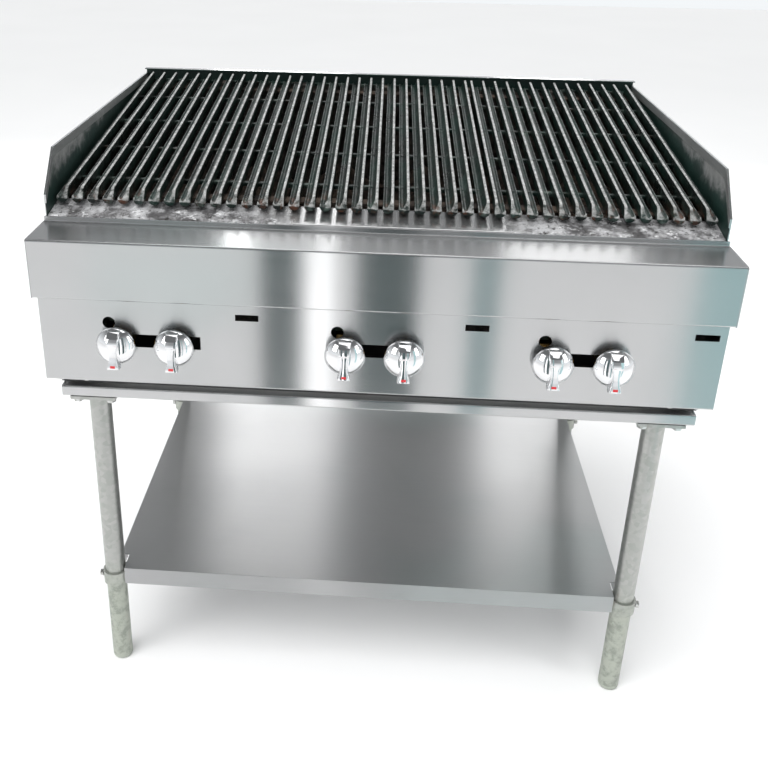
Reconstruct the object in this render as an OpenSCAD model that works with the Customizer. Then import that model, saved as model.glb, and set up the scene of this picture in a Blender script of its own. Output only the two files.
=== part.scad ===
// Gas charbroiler with six burners and six cast grates, on a tube stand with an undershelf.
// The front faces -Y, +X is to the right as seen from the front, and +Z is up. The origin is on the
// floor under the middle of the whole object. Depths below are counted back from the apron's face,
// which from_apron() puts in its place. Sizes are in millimetres.

/* [Body] */
// Width over the two side panels
body_w = 906; // [900:1:912]
// Depth from the apron's face to the back panel
body_d = 664; // [660:1:668]
// Height of the front ledge above the floor
ledge_z = 770; // [760:1:780]
// Height of the side guards above the ledge
guard_rise = 91; // [89:1:95]
// Height of the back guard above the ledge
back_rise = 100; // [98:1:104]
// Thickness of the stainless sheet
sheet = 1.5; // [1.2:0.1:1.6]

/* [Front] */
// How far the ledge stands past the body at each side
ledge_over = 4; // [3:0.5:6]
// Depth of the ledge
ledge_d = 74; // [73:1:75]
// Height of the apron
apron_h = 83; // [80:1:86]
// Width of the control panel
panel_w = 900; // [894:1:900]
// Depth of the control panel's lower edge below the ledge
panel_drop = 207; // [205:1:208]
// Depth of the knob shafts below the ledge
knob_drop = 144; // [142:1:146]
// Distance between the two knobs of a pair
knob_gap = 78; // [76:1:80]
// How far the knobs reach out past the apron
knob_out = 30; // [28:1:32]
// Radius of a knob's dome
knob_r = 27; // [25:0.5:28]
// Height of the slot that the valve stems pass through
slot_h = 19; // [17:1:20]

/* [Grates] */
// Number of bars on one grate
bars_per_grate = 7; // [7:1:7]
// Distance from bar to bar
bar_pitch = 21.4; // [21.2:0.1:21.4]
// Length of a bar along its slope
bar_len = 538; // [534:1:540]
// Angle at which the grates fall towards the front
grate_slope = 6.4; // [6:0.1:6.6]
// Height of a bar from its underside to its ridge
bar_h = 20; // [18:1:21]
// Width of a bar's trough
trough_w = 15; // [14:0.5:15]

/* [Gas] */
// Number of burners
burner_count = 6; // [6:1:6]
// Distance from burner to burner
burner_pitch = 150; // [146:1:150]
// Outer radius of the gas pipe, nominal size 3/4 inch
pipe_r = 13.335; // [13:0.005:13.5]
// How far the gas inlet reaches out behind the back panel
inlet_out = 36; // [34:1:40]
// Length of the inlet's threaded end
inlet_thread = 20; // [18:1:24]

/* [Stand] */
// Width of the stand's frame
frame_w = 892; // [890:1:896]
// Height of the frame's rails
rail_h = 17; // [16:0.5:18]
// Outer diameter of a leg tube
leg_d = 31.75; // [30:0.25:32]
// Distance of the legs from the middle
leg_x = 402; // [401:1:403]
// Height of the shelf's top
shelf_z = 190; // [170:5:220]
// Height of the shelf's front lip
shelf_lip = 30; // [28:1:32]

/* [Hidden] */
$fn = 48;

// Radius of a bend in sheet, measured at the middle of the sheet, and the flats that it is drawn with
bend_r = 2.5;
bend_steps = 5;
// Gap left between pieces that move past each other
gap = 0.3;
// A cut runs past a face by this much
past = 1;

// Body
apron_y = -(body_d + inlet_out - knob_out) / 2;
body_x = body_w / 2;
inner_x = body_x - sheet;
base_z = ledge_z - 240;
guard_z = ledge_z + guard_rise;
back_z = ledge_z + back_rise;
knee_rise = 37;
knee_d = 120;
hem = 12;
flange_w = 20;

// Front
panel_y = 5;
panel_z = ledge_z - panel_drop;
panel_top_z = ledge_z - 5;
upstand = 7;
knob_z = ledge_z - knob_drop;
// Middle of each pair of knobs, and how far its slot runs past its second knob
pair_x = [-306, 0, 271];
slot_past = [34, 15, 15];
slot_before = 15;
knob_x = [for (x = pair_x) each [x - knob_gap / 2, x + knob_gap / 2]];
// Pilot holes sit up and to the left of each pair, and lighting slots up and to the right
pilot_x = [for (x = pair_x) x - 50];
pilot_z = ledge_z - 116;
pilot_r = 8.5;
light_x = [-170, 132, 425];
light_z = ledge_z - 101;
light_slot = [31, 9];
screw_x = [397, 432];
screw_y = 18;
// Knobs stand off the panel on their stems
knob_back_y = -6;
slot_z = knob_z + 2.5;

// Firebox
wall_y = 128;
rear_wall_y = body_d - 20;
firebox_x = 448;
firebox_z = base_z + 74;
front_wall_top = ledge_z + 12;
rear_wall_top = ledge_z + 80;

// Grates: the slope's frame starts at the bars' lowest front edge
grate_y = 104;
grate_z = ledge_z + 17;
grate_pitch = bars_per_grate * bar_pitch;
rest_w = 16;
rest_at = [30, bar_len - 30];

// Gas train
manifold_y = 42;
manifold_z = knob_z - 38;
pipe_bore_r = pipe_r - 2.835;
pipe_fit = 0.115;
thread_r = 12.56;
elbow_x = 417;
// Pipes stop this far short of the elbow's middle
pipe_stop = 14;
manifold_left = -430;
valve_y = [27, 61];
valve_h = 28;
shank_r = 7;
stem_r = 4;
stem_end_y = 46;
stem_fit = 0.08;
spud_y = 66;
venturi_r = 19;
tube_r = 17;
burner_wall = 3;
header_y = [136, 172];
burner_end_y = body_d - 60;
burner_z = knob_z + 22;
radiant_half = 56;
radiant_y = [150, body_d - 50];
burner_rest_y = body_d - 90;
radiant_z = burner_z + 24.5;
radiant_rise = 39.5;
pilot_level = burner_z + 32;
pilot_end_y = 188;
riser_dx = 18;

// Drip tray, with its top below the screws under the control panel
tray_x = 446;
tray_y = [50, body_d - 14];
tray_z = [base_z + 5.8, base_z + 26];
tray_sheet = 1.2;
runner_z = base_z + 4;

// Stand
frame_y = [46, body_d - 10];
leg_r = leg_d / 2;
leg_wall = 1.5;
flange_half = 33;
flange_t = 5;
leg_y = [frame_y[0] + flange_half + 0.5, frame_y[1] - flange_half - 0.5];
frame_z = base_z - rail_h;
leg_top_z = frame_z - flange_t;
rail_reach = 28;
bolt_at = 24;
bolt_r = 3.9;
bolt_hole_r = 4.25;
plug_h = 8;
shelf_x = leg_x - 4;
shelf_y = [leg_y[0] - 14, leg_y[1] + 14];
collar_r = leg_r + 3.6;
collar_h = 22;
collar_z = shelf_z - 33;

// ---- Shapes that repeat ----

function unit(v) = v / norm(v);
function left_of(v) = [-v[1], v[0]];
function turned(v, a) = [v[0] * cos(a) - v[1] * sin(a), v[0] * sin(a) + v[1] * cos(a)];

// Points of the bend at corner b of the path a, b, c
function bend(a, b, c, r) =
    let (u = unit(a - b), v = unit(c - b), half = acos(u * v) / 2)
    let (centre = b + unit(u + v) * r / sin(half), spoke = b + u * r / tan(half) - centre)
    let (turn = sign(cross(u, v)) * (2 * half - 180))
    [for (i = [0:bend_steps]) centre + turned(spoke, turn * i / bend_steps)];

// The path with every inner corner bent to radius r
function bent(path, r) =
    let (n = len(path) - 1)
    [for (i = [0:n]) each (i == 0 || i == n ? [path[i]] : bend(path[i - 1], path[i], path[i + 1], r))];

// The point beside point i of the path, off to its left
function beside(path, i, off) =
    let (n = len(path) - 1)
    let (back = unit(path[max(i, 1)] - path[max(i, 1) - 1]))
    let (ahead = unit(path[min(i, n - 1) + 1] - path[min(i, n - 1)]))
    let (side = unit(left_of(back) + left_of(ahead)))
    path[i] + side * off / (side * left_of(back));

// Outline of a sheet of thickness t that follows the path along its middle
function sheet_outline(path, t, r) =
    let (p = bent(path, r), n = len(p) - 1)
    concat([for (i = [0:n]) beside(p, i, t / 2)], [for (i = [n:-1:0]) beside(p, i, -t / 2)]);

module folded(path, t = sheet, r = bend_r) {
    polygon(sheet_outline(path, t, r));
}

// Puts depths counted from the apron's face in the object's frame
module from_apron() {
    translate([0, apron_y, 0]) children();
}

// Extrudes a Y-Z outline along X, centred
module along_x(length) {
    translate([-length / 2, 0, 0]) rotate([90, 0, 90]) linear_extrude(length) children();
}

// Extrudes an X-Z outline along Y, from one depth to another
module along_y(from, to) {
    translate([0, to, 0]) rotate([90, 0, 0]) linear_extrude(to - from) children();
}

// A rod along Y from one depth to another
module rod_y(x, z, r, from, to) {
    translate([x, from, z]) rotate([-90, 0, 0]) cylinder(r = r, h = to - from);
}

// A box between two corners
module block(low, high) {
    translate(low) cube(high - low);
}

module both_sides() {
    children();
    mirror([1, 0, 0]) children();
}

// The frame of the grates' slope: Y runs up the slope from the bars' front edge
module on_slope() {
    translate([0, grate_y, grate_z]) rotate([grate_slope, 0, 0]) children();
}

// ---- Body ----

module guard_outline() {
    polygon([
        [ledge_d, base_z], [body_d, base_z], [body_d, guard_z], [knee_d, guard_z],
        [ledge_d, ledge_z + knee_rise]
    ]);
}

// The right-hand side panel: a sheet with a hem along its top, and flanges at its base, front and back
module side_panel() {
    from_apron() difference() {
        union() {
            translate([body_x - sheet / 2, 0, 0]) along_x(sheet) guard_outline();
            translate([body_x - 1.5 * sheet, 0, 0]) along_x(sheet) difference() {
                guard_outline();
                translate([0, -hem]) guard_outline();
            }
            block([inner_x - flange_w, ledge_d, base_z], [inner_x, body_d, base_z + sheet]);
            block([inner_x - flange_w, ledge_d, panel_z], [inner_x, ledge_d + sheet, ledge_z - 3]);
            block([inner_x - flange_w, body_d - sheet, base_z], [inner_x, body_d, guard_z - hem]);
        }
        back_screw_places() rod_y(0, 0, 2.3, body_d - 5, body_d + past);
    }
}

module left_side_panel() {
    color("silver") mirror([1, 0, 0]) side_panel();
}

module right_side_panel() {
    color("silver") side_panel();
}

module back_panel() {
    color("silver") from_apron() difference() {
        along_x(body_w) folded([
            [body_d - 13, back_z - sheet / 2], [body_d + sheet / 2, back_z - sheet / 2],
            [body_d + sheet / 2, base_z]
        ]);
        both_sides() back_screw_places() rod_y(0, 0, 2.3, body_d - past, body_d + 5);
        rod_y(elbow_x, manifold_z, pipe_r + 2.5, body_d - past, body_d + 5);
    }
}

module back_screw_places() {
    for (z = [base_z + 30, base_z + 125, base_z + 220, base_z + 300])
        translate([inner_x - flange_w / 2, 0, z]) children();
}

module body_screws() {
    color("silver") from_apron() both_sides() {
        back_screw_places() {
            rod_y(0, 0, 2.2, body_d - 8, body_d + sheet + 1);
            rod_y(0, 0, 5, body_d + sheet, body_d + sheet + 2.2);
        }
        for (x = screw_x) translate([x, screw_y, panel_z - 4.5]) {
            cylinder(r = 5, h = 4.5, $fn = 6);
            cylinder(r = 2.4, h = 12);
        }
    }
}

// ---- Front ----

module stem_slot(i) {
    first = knob_x[2 * i] - slot_before;
    last = knob_x[2 * i + 1] + slot_past[i];
    block([first, 0, slot_z - slot_h / 2], [last, panel_y + 4, slot_z + slot_h / 2]);
}

module control_panel() {
    front = panel_y + sheet / 2;
    color("silver") from_apron() difference() {
        union() {
            along_x(panel_w) folded([
                [front, panel_top_z], [front, panel_z + sheet / 2], [30, panel_z + sheet / 2]
            ]);
            both_sides()
                block([panel_w / 2 - sheet, panel_y + sheet, panel_z], [panel_w / 2, ledge_d, panel_top_z]);
        }
        for (i = [0:2]) {
            stem_slot(i);
            rod_y(pilot_x[i], pilot_z, pilot_r, 0, 10);
            translate([light_x[i], panel_y, light_z]) cube([light_slot[0], 8, light_slot[1]], center = true);
        }
        both_sides() for (x = screw_x) translate([x, screw_y, panel_z - past]) cylinder(r = 2.5, h = 5);
    }
}

// Apron, flat top and upstand, folded from one sheet
module front_ledge() {
    mid = sheet / 2;
    color("silver") from_apron() along_x(body_w + 2 * ledge_over - 2 * sheet) folded([
        [4.5, ledge_z - apron_h + mid], [mid, ledge_z - apron_h + mid], [mid, ledge_z - mid],
        [ledge_d - mid, ledge_z - mid], [ledge_d - mid, ledge_z + upstand]
    ]);
}

module ledge_end_caps() {
    color("silver") from_apron() both_sides()
        translate([body_x + ledge_over - sheet / 2, 0, 0]) along_x(sheet)
            polygon([
                [0, ledge_z - apron_h], [ledge_d, ledge_z - apron_h], [ledge_d, ledge_z],
                [bend_r, ledge_z], [0, ledge_z - bend_r]
            ]);
}

// The sloping plate under the front ends of the grates
module grease_deflector() {
    near = ledge_d + 2.5 + sheet / 2;
    far = wall_y - sheet / 2 - gap;
    color("silver") from_apron() along_x(2 * inner_x - 1) folded([
        [near, ledge_z - 25], [near, ledge_z + 6.5], [far, ledge_z + 15], [far, ledge_z - 5]
    ], sheet, 1.5);
}

module drip_tray() {
    wall = tray_sheet;
    lip = 12;
    color("dimgray") from_apron() {
        difference() {
            block([-tray_x, tray_y[0], tray_z[0]], [tray_x, tray_y[1], tray_z[1]]);
            block([wall - tray_x, tray_y[0] + wall, tray_z[0] + wall],
                  [tray_x - wall, tray_y[1] - wall, tray_z[1] + past]);
        }
        block([-tray_x, tray_y[0] - lip, tray_z[1] - wall], [tray_x, tray_y[0], tray_z[1]]);
        block([-tray_x, tray_y[0] - lip, tray_z[1] - 6], [tray_x, tray_y[0] - lip + wall, tray_z[1]]);
    }
}

module tray_runners() {
    color("silver") from_apron() both_sides() along_y(ledge_d + 4, body_d - 10) folded([
        [inner_x - flange_w, runner_z + sheet / 2], [inner_x - sheet / 2, runner_z + sheet / 2],
        [inner_x - sheet / 2, tray_z[1] + 2]
    ], sheet, 1.5);
}

// ---- Firebox ----

module firebox_front_wall() {
    mid = wall_y + sheet / 2;
    color("gray") from_apron() difference() {
        along_x(2 * firebox_x) folded([
            [mid + 12, firebox_z + sheet / 2], [mid, firebox_z + sheet / 2], [mid, front_wall_top]
        ]);
        for (x = knob_x) rod_y(x, knob_z, venturi_r + 0.5, wall_y - past, wall_y + 4);
        for (x = pilot_x) rod_y(x, pilot_level, 5, wall_y - past, wall_y + 4);
    }
}

module firebox_rear_wall() {
    mid = rear_wall_y + sheet / 2;
    color("gray") from_apron() along_x(2 * firebox_x) folded([
        [body_d - 3, rear_wall_top - sheet / 2], [mid, rear_wall_top - sheet / 2], [mid, firebox_z]
    ]);
}

module firebox_liners() {
    color("gray") from_apron() both_sides()
        translate([firebox_x + 0.5 + sheet / 2, 0, 0]) along_x(sheet) polygon([
            [wall_y + 4, firebox_z], [rear_wall_y - 2, firebox_z],
            [rear_wall_y - 2, front_wall_top + (rear_wall_y - wall_y) * tan(grate_slope) - 4],
            [wall_y + 4, front_wall_top - 2]
        ]);
}

// Flat bars that carry the grates, lying along their slope
module grate_rests() {
    color("dimgray") from_apron() on_slope() for (at = rest_at)
        block([-firebox_x, at, -3 - gap], [firebox_x, at + rest_w, -gap]);
}

// Two bars that carry the radiants, and one under the burners' far ends
module firebox_rails() {
    top = radiant_z - 1.2 - gap;
    color("dimgray") from_apron() {
        for (y = [radiant_y[0], radiant_y[1] - rest_w])
            block([-firebox_x, y, top - 2.7], [firebox_x, y + rest_w, top]);
        block([-firebox_x, burner_rest_y, burner_z - tube_r - 3 - gap],
              [firebox_x, burner_rest_y + rest_w, burner_z - tube_r - gap]);
    }
}

module radiants() {
    color("dimgray") from_apron() for (i = [1:burner_count]) translate([burner_x(i), 0, 0])
        along_y(radiant_y[0], radiant_y[1]) folded([
            [-radiant_half, radiant_z], [0, radiant_z + radiant_rise], [radiant_half, radiant_z]
        ], 2, 4);
}

function burner_x(i) = (i - (burner_count + 1) / 2) * burner_pitch;

// Outside of a burner, or its hollow when it is drawn thinner by a wall
module burner_shape(i, wall) {
    tube_x = burner_x(i);
    mouth_x = knob_x[i - 1];
    left = min(tube_x, mouth_x) - venturi_r + wall;
    right = max(tube_x, mouth_x) + venturi_r - wall;
    rod_y(mouth_x, knob_z, venturi_r - wall, wall > 0 ? 69 : 70, header_y[0] + 2 * wall);
    block([left, header_y[0] + wall, knob_z - venturi_r + wall],
          [right, header_y[1] - wall, burner_z + tube_r + 1 - wall]);
    rod_y(tube_x, burner_z, tube_r - wall, header_y[1] - 2 * wall, burner_end_y - wall);
}

// A cast burner: mixing tube in front, header, and a straight tube with a row of slots on top
module burner(i) {
    color("dimgray") from_apron() difference() {
        burner_shape(i, 0);
        burner_shape(i, burner_wall);
        for (y = [header_y[1] + 28:20:burner_end_y - 20])
            block([burner_x(i) - 8, y, burner_z], [burner_x(i) + 8, y + 1.6, burner_z + tube_r + past]);
    }
}

// ---- Grates ----

// Outline of one bar: a tall blade on the right, an open trough on its left, and a round underside
module bar_outline() {
    r = trough_w / 2;
    polygon(concat(
        [[3, bar_h], [-1.5, 8.5], [-4, 7], [2 - r, 9.5], [-r, 9.5]],
        [for (a = [180:20:360]) [r * cos(a), 7 + 7 * sin(a)]],
        [[7, bar_h]]
    ));
}

module grate_bars() {
    first = -(bars_per_grate - 1) / 2 * bar_pitch;
    for (i = [0:bars_per_grate - 1]) translate([first + i * bar_pitch, 0, 0])
        along_y(0, bar_len) bar_outline();
}

// Grates past the middle two thirds are turned, so their troughs lie on the other side
module grate(i) {
    turned_over = i > 4;
    half = ((bars_per_grate - 1) * bar_pitch + trough_w) / 2;
    x = (i - (burner_count + 1) / 2) * grate_pitch;
    color("darkslategray") from_apron() on_slope() translate([x, 0, 0]) mirror([turned_over ? 1 : 0, 0, 0]) {
        difference() {
            grate_bars();
            along_x(2 * half + 2 * past)
                polygon([[-past, 7], [0, 7], [bar_h - 7 + past, bar_h + past], [-past, bar_h + past]]);
        }
        for (y = [70, 190, 310, 430, bar_len - 6]) block([3 - half, y, 2.5], [half - 3, y + 6, 8]);
    }
}

// ---- Gas train ----

module gas_manifold() {
    color("dimgray") from_apron() difference() {
        translate([manifold_left, manifold_y, manifold_z]) rotate([0, 90, 0])
            cylinder(r = pipe_r, h = elbow_x - pipe_stop - manifold_left);
        translate([manifold_left + 4, manifold_y, manifold_z]) rotate([0, 90, 0])
            cylinder(r = pipe_bore_r, h = elbow_x - manifold_left);
        for (x = knob_x) translate([x, manifold_y, manifold_z]) cylinder(r = shank_r + 0.1, h = 2 * pipe_r);
        for (x = pilot_x) translate([x - riser_dx, manifold_y, manifold_z]) cylinder(r = 5.1, h = 2 * pipe_r);
    }
}

// The inlet pipe, whose threaded end is drawn plain at the thread's mean radius
module gas_inlet_pipe() {
    pipe_end = body_d + inlet_out;
    color("dimgray") from_apron() difference() {
        union() {
            rod_y(elbow_x, manifold_z, pipe_r, manifold_y + pipe_stop, pipe_end - inlet_thread);
            rod_y(elbow_x, manifold_z, thread_r, pipe_end - inlet_thread - past, pipe_end);
        }
        rod_y(elbow_x, manifold_z, pipe_bore_r, manifold_y, pipe_end + past);
    }
}

module gas_elbow() {
    outer = pipe_r + 3.5;
    reach = 26;
    color("dimgray") from_apron() difference() {
        union() {
            translate([elbow_x - reach, manifold_y, manifold_z]) rotate([0, 90, 0])
                cylinder(r = outer, h = reach);
            rod_y(elbow_x, manifold_z, outer, manifold_y, manifold_y + reach);
            translate([elbow_x, manifold_y, manifold_z]) sphere(r = outer + 1.5);
        }
        translate([elbow_x - reach - past, manifold_y, manifold_z]) rotate([0, 90, 0])
            cylinder(r = pipe_r + pipe_fit, h = reach - pipe_stop + past);
        translate([elbow_x - reach, manifold_y, manifold_z]) rotate([0, 90, 0]) cylinder(r = 9, h = reach);
        rod_y(elbow_x, manifold_z, pipe_r + pipe_fit, manifold_y + pipe_stop, manifold_y + reach + past);
        rod_y(elbow_x, manifold_z, 9, manifold_y, manifold_y + reach);
    }
}

// Valve bodies, each with a shank down into the manifold and a bonnet for its stem
module gas_valves() {
    bonnet_y = 15;
    color("goldenrod") from_apron() for (x = knob_x) difference() {
        union() {
            block([x - 13, valve_y[0], knob_z - valve_h / 2], [x + 13, valve_y[1], knob_z + valve_h / 2]);
            translate([x, manifold_y, manifold_z + pipe_bore_r + 0.5]) cylinder(r = shank_r, h = 18);
            rod_y(x, knob_z, 9, bonnet_y, valve_y[0] + 1);
            rod_y(x, knob_z, 6, valve_y[1] - 1, spud_y);
        }
        rod_y(x, knob_z, stem_r + stem_fit, bonnet_y - past, stem_end_y + 1);
        rod_y(x, knob_z, 2, stem_end_y, spud_y + past);
    }
}

module valve_stem(i) {
    color("goldenrod") from_apron() rod_y(knob_x[i - 1], knob_z, stem_r, knob_back_y - 8, stem_end_y);
}

module burner_orifices() {
    color("gold") from_apron() for (x = knob_x) difference() {
        union() {
            translate([x, spud_y, knob_z]) rotate([-90, 0, 0]) cylinder(r = 7.5, h = 8, $fn = 6);
            rod_y(x, knob_z, 4, spud_y + 7, spud_y + 14);
        }
        rod_y(x, knob_z, 1, spud_y - past, spud_y + 15);
    }
}

module pilot_valves() {
    color("goldenrod") from_apron() for (x = pilot_x) {
        block([x - riser_dx - 6, 27, pilot_z - 8], [x + 8, 53, pilot_z + 8]);
        translate([x - riser_dx, manifold_y, manifold_z + pipe_bore_r + 0.5])
            cylinder(r = 5, h = pilot_z - 7 - manifold_z - pipe_bore_r);
        difference() {
            rod_y(x, pilot_z, 4.5, 19, 28);
            block([x - 5, 18, pilot_z - 0.6], [x + 5, 20.5, pilot_z + 0.6]);
        }
    }
}

// Thin tubes that rise behind the valves and run back over the headers
module pilot_tubes() {
    r = 3;
    turn_y = 64;
    color("darkgoldenrod") from_apron() for (x = pilot_x) {
        rod_y(x, pilot_z, r, 53, turn_y);
        translate([x, turn_y, pilot_z]) cylinder(r = r, h = pilot_level - pilot_z);
        rod_y(x, pilot_level, r, turn_y, pilot_end_y);
        for (z = [pilot_z, pilot_level]) translate([x, turn_y, z]) sphere(r = r + 1.2);
    }
}

module pilot_burners() {
    color("silver") from_apron() for (x = pilot_x) difference() {
        rod_y(x, pilot_level, 6, pilot_end_y, pilot_end_y + 24);
        rod_y(x, pilot_level, 4.5, pilot_end_y + 3, pilot_end_y + 25);
    }
}

// ---- Knobs ----

// Front view of the grip, which narrows at its waist and flares at its tail
module grip_outline() {
    polygon([[-8, 25.5], [8, 25.5], [5, -2], [8.5, -27], [-8.5, -27], [-5, -2]]);
}

// Side view of the grip: height across, and distance out from the knob's back
module grip_side() {
    tip = knob_out + knob_back_y;
    polygon([
        [25.5, 2], [25.5, 7], [17, 18], [9, 22], [8, 18], [-10, 18.5], [-25, tip], [-27, tip - 2],
        [-23, 9], [-19, 2]
    ]);
}

// A chrome dome with a grip, bored for its stem
module knob(i) {
    dome_h = 15;
    rim = 2.5;
    dome_r = (knob_r * knob_r + dome_h * dome_h) / (2 * dome_h);
    arc = asin(knob_r / dome_r);
    centre_z = rim + dome_h - dome_r;
    place = [knob_x[i - 1], knob_back_y, knob_z];
    color("gainsboro") from_apron() translate(place) rotate([90, 0, 0]) difference() {
        union() {
            cylinder(r = knob_r, h = rim);
            rotate_extrude($fn = 64) polygon(concat(
                [[0, rim - 0.5], [knob_r, rim - 0.5]],
                [for (k = [0:6]) let (a = arc * (1 - k / 6)) [dome_r * sin(a), centre_z + dome_r * cos(a)]]
            ));
            intersection() {
                linear_extrude(knob_out + 5) grip_outline();
                along_x(20) grip_side();
            }
        }
        translate([0, 0, -past]) cylinder(r = stem_r + stem_fit, h = 8 + past);
    }
}

// ---- Stand ----

// The three bolts of each leg's flange: two in the cross rail and one in the side rail
module bolt_places() {
    both_sides() for (end = [0, 1]) {
        out = end == 0 ? -1 : 1;
        for (at = [[-bolt_at, out * bolt_at], [bolt_at, out * bolt_at], [bolt_at, -out * bolt_at]])
            translate([leg_x + at[0], leg_y[end] + at[1], 0]) children();
    }
}

module at_legs() {
    both_sides() for (y = leg_y) translate([leg_x, y, 0]) children();
}

// A channel between two depths, open towards the one given last
module channel(web, open) {
    low = frame_z + sheet / 2;
    high = base_z - sheet / 2;
    folded([[open, low], [web, low], [web, high], [open, high]]);
}

module frame_cross_rails() {
    color("silver") from_apron() difference() {
        along_x(frame_w) {
            channel(frame_y[0] + sheet / 2, frame_y[0] + rail_reach);
            channel(frame_y[1] - sheet / 2, frame_y[1] - rail_reach);
        }
        bolt_places() translate([0, 0, frame_z - past]) cylinder(r = bolt_hole_r, h = 4);
    }
}

module frame_side_rails() {
    web = frame_w / 2 - sheet / 2;
    color("silver") from_apron() difference() {
        both_sides() along_y(frame_y[0] + rail_reach + gap, frame_y[1] - rail_reach - gap)
            channel(web, web - rail_reach);
        bolt_places() translate([0, 0, frame_z - past]) cylinder(r = bolt_hole_r, h = 4);
    }
}

module leg_flanges() {
    color("silver") from_apron() difference() {
        at_legs() translate([-flange_half, -flange_half, leg_top_z])
            cube([2 * flange_half, 2 * flange_half, flange_t]);
        bolt_places() translate([0, 0, leg_top_z - past]) cylinder(r = bolt_hole_r, h = flange_t + 2);
    }
}

module flange_bolts() {
    color("silver") from_apron() bolt_places() {
        translate([0, 0, leg_top_z - 5.3]) cylinder(r = 7.5, h = 5.3, $fn = 6);
        translate([0, 0, leg_top_z - 1]) cylinder(r = bolt_r, h = 16);
        translate([0, 0, frame_z + sheet + 0.1]) difference() {
            cylinder(r = 7.5, h = 6.5, $fn = 6);
            translate([0, 0, -past]) cylinder(r = bolt_r + 0.1, h = 9);
        }
    }
}

module leg(end) {
    color("silver") from_apron() translate([leg_x, leg_y[end], plug_h]) difference() {
        cylinder(r = leg_r, h = leg_top_z - plug_h);
        translate([0, 0, -past]) cylinder(r = leg_r - leg_wall, h = leg_top_z);
    }
}

module front_left_leg() {
    mirror([1, 0, 0]) leg(0);
}

module front_right_leg() {
    leg(0);
}

module rear_left_leg() {
    mirror([1, 0, 0]) leg(1);
}

module rear_right_leg() {
    leg(1);
}

// Plugs that close the legs' lower ends, rounded where they meet the floor
module leg_plugs() {
    round_r = 5;
    inside_r = leg_r - leg_wall - 0.1;
    color("dimgray") from_apron() at_legs() rotate_extrude() polygon(concat(
        [[0, 0]],
        [for (a = [-90:15:0]) [leg_r - round_r + round_r * cos(a), round_r + round_r * sin(a)]],
        [[leg_r, plug_h], [inside_r, plug_h], [inside_r, plug_h + 18], [0, plug_h + 18]]
    ));
}

// The shelf is a pan turned over, with its corners cut back round the legs
module undershelf() {
    inside = [shelf_x - sheet, shelf_y[0] + sheet, shelf_y[1] - sheet];
    notch = [leg_x - leg_r - 2, leg_y[0] + collar_r + 1, leg_y[1] - collar_r - 1];
    low = shelf_z - shelf_lip;
    color("silver") from_apron() difference() {
        block([-shelf_x, shelf_y[0], low], [shelf_x, shelf_y[1], shelf_z]);
        block([-inside[0], inside[1], low - past], [inside[0], inside[2], shelf_z - sheet]);
        both_sides() {
            block([notch[0], shelf_y[0] - past, low - past], [shelf_x + past, notch[1], shelf_z + past]);
            block([notch[0], notch[2], low - past], [shelf_x + past, shelf_y[1] + past, shelf_z + past]);
        }
    }
}

// Collars clamped round the legs, each with a bracket that reaches in under the shelf
module shelf_collars() {
    screw_z = collar_z + collar_h / 2;
    color("silver") from_apron() at_legs() difference() {
        union() {
            translate([0, 0, collar_z]) cylinder(r = collar_r, h = collar_h);
            block([-collar_r - 8, -6, collar_z], [-leg_r - 1.5, 6, shelf_z - sheet]);
        }
        translate([0, 0, collar_z - past]) cylinder(r = leg_r + 0.1, h = shelf_z);
        translate([leg_r - 2, 0, screw_z]) rotate([0, 90, 0]) cylinder(r = 3.1, h = 10);
    }
}

module collar_screws() {
    color("silver") from_apron() at_legs() translate([0, 0, collar_z + collar_h / 2]) rotate([0, 90, 0]) {
        translate([0, 0, leg_r + gap]) cylinder(r = 3, h = 5);
        translate([0, 0, collar_r + gap]) cylinder(r = 6, h = 5, $fn = 6);
    }
}

// ---- What is drawn ----

left_side_panel();
right_side_panel();
back_panel();
control_panel();
front_ledge();
ledge_end_caps();
grease_deflector();
firebox_front_wall();
firebox_rear_wall();
firebox_liners();
grate_rests();
firebox_rails();
radiants();
burner(1);  // burner_1
burner(2);  // burner_2
burner(3);  // burner_3
burner(4);  // burner_4
burner(5);  // burner_5
burner(6);  // burner_6
gas_manifold();
gas_inlet_pipe();
gas_elbow();
gas_valves();
burner_orifices();
pilot_burners();
pilot_tubes();
pilot_valves();
knob(1);  // knob_1
knob(2);  // knob_2
knob(3);  // knob_3
knob(4);  // knob_4
knob(5);  // knob_5
knob(6);  // knob_6
valve_stem(1);  // valve_stem_1
valve_stem(2);  // valve_stem_2
valve_stem(3);  // valve_stem_3
valve_stem(4);  // valve_stem_4
valve_stem(5);  // valve_stem_5
valve_stem(6);  // valve_stem_6
grate(1);  // grate_1
grate(2);  // grate_2
grate(3);  // grate_3
grate(4);  // grate_4
grate(5);  // grate_5
grate(6);  // grate_6
drip_tray();
tray_runners();
body_screws();
frame_cross_rails();
frame_side_rails();
front_left_leg();
front_right_leg();
rear_left_leg();
rear_right_leg();
leg_flanges();
flange_bolts();
leg_plugs();
undershelf();
shelf_collars();
collar_screws();
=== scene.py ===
"""Looks of the six-burner gas charbroiler: materials, detailed grates and knobs, a pale studio
and the camera. Everything is in metres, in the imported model's own frame."""

import math

import bmesh
import bpy
from mathutils import Matrix, Vector, noise


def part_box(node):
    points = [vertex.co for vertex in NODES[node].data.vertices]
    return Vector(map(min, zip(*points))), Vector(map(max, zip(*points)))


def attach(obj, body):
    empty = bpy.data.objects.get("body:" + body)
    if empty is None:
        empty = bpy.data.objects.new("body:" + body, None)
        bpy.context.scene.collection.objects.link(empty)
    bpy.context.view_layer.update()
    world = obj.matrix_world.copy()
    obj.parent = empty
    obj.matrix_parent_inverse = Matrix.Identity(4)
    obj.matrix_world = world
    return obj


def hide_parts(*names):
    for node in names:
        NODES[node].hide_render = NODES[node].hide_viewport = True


MM = 0.001

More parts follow.
